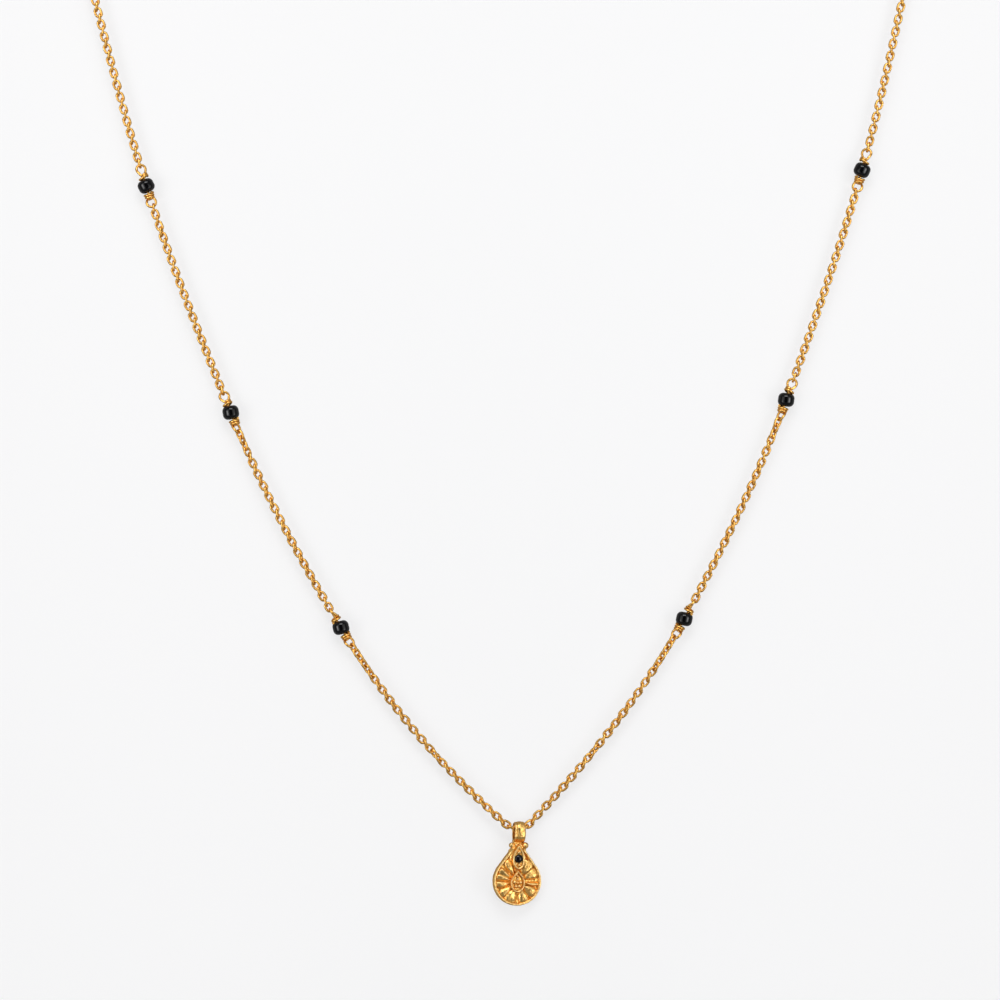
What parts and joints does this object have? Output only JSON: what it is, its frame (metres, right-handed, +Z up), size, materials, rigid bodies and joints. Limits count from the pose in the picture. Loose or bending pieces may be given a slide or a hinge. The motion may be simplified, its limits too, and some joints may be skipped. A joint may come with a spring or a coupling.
{
  "type": "mangalsutra necklace",
  "caption": "Gold cable-chain mangalsutra, a closed loop with round black bead stations and a cast drop pendant swinging on its bail.",
  "frame": {"origin": "underside of the clasp ring at the top of the loop, where the necklace rests on the nape or on a peg", "axes": "+Z up, the loop hangs in the XZ plane with the pendant down -Z; +X to the viewer's right; the front of the pendant faces -Y"},
  "size_m": [0.1338, 0.0031, 0.2073],
  "materials": {
    "gold": "warm yellow gold, satin cast surfaces with polished high points, drawn polished wire",
    "black_glass": "opaque glossy black glass"
  },
  "bodies": {
    "root": {"chain_front": "gold", "chain_left_1": "gold", "chain_left_2": "gold", "chain_right_1": "gold", "chain_right_2": "gold", "chain_left_back": "gold", "chain_right_back": "gold", "bead_left_1": "black_glass", "bead_left_2": "black_glass", "bead_left_3": "black_glass", "bead_right_1": "black_glass", "bead_right_2": "black_glass", "bead_right_3": "black_glass", "wire_left_1": "gold", "wire_left_2": "gold", "wire_left_3": "gold", "wire_right_1": "gold", "wire_right_2": "gold", "wire_right_3": "gold", "clasp": "gold"},
    "pendant": {"pendant": "gold", "pendant_stone": "black_glass"}
  },
  "joints": [
    {"name": "pendant_swing", "type": "hinge", "parent": "root", "child": "pendant", "pos_m": [0.003, 0, -0.1895], "axis": [0.9703, 0.2419, 0], "range_deg": [-90, 90]}
  ]
}
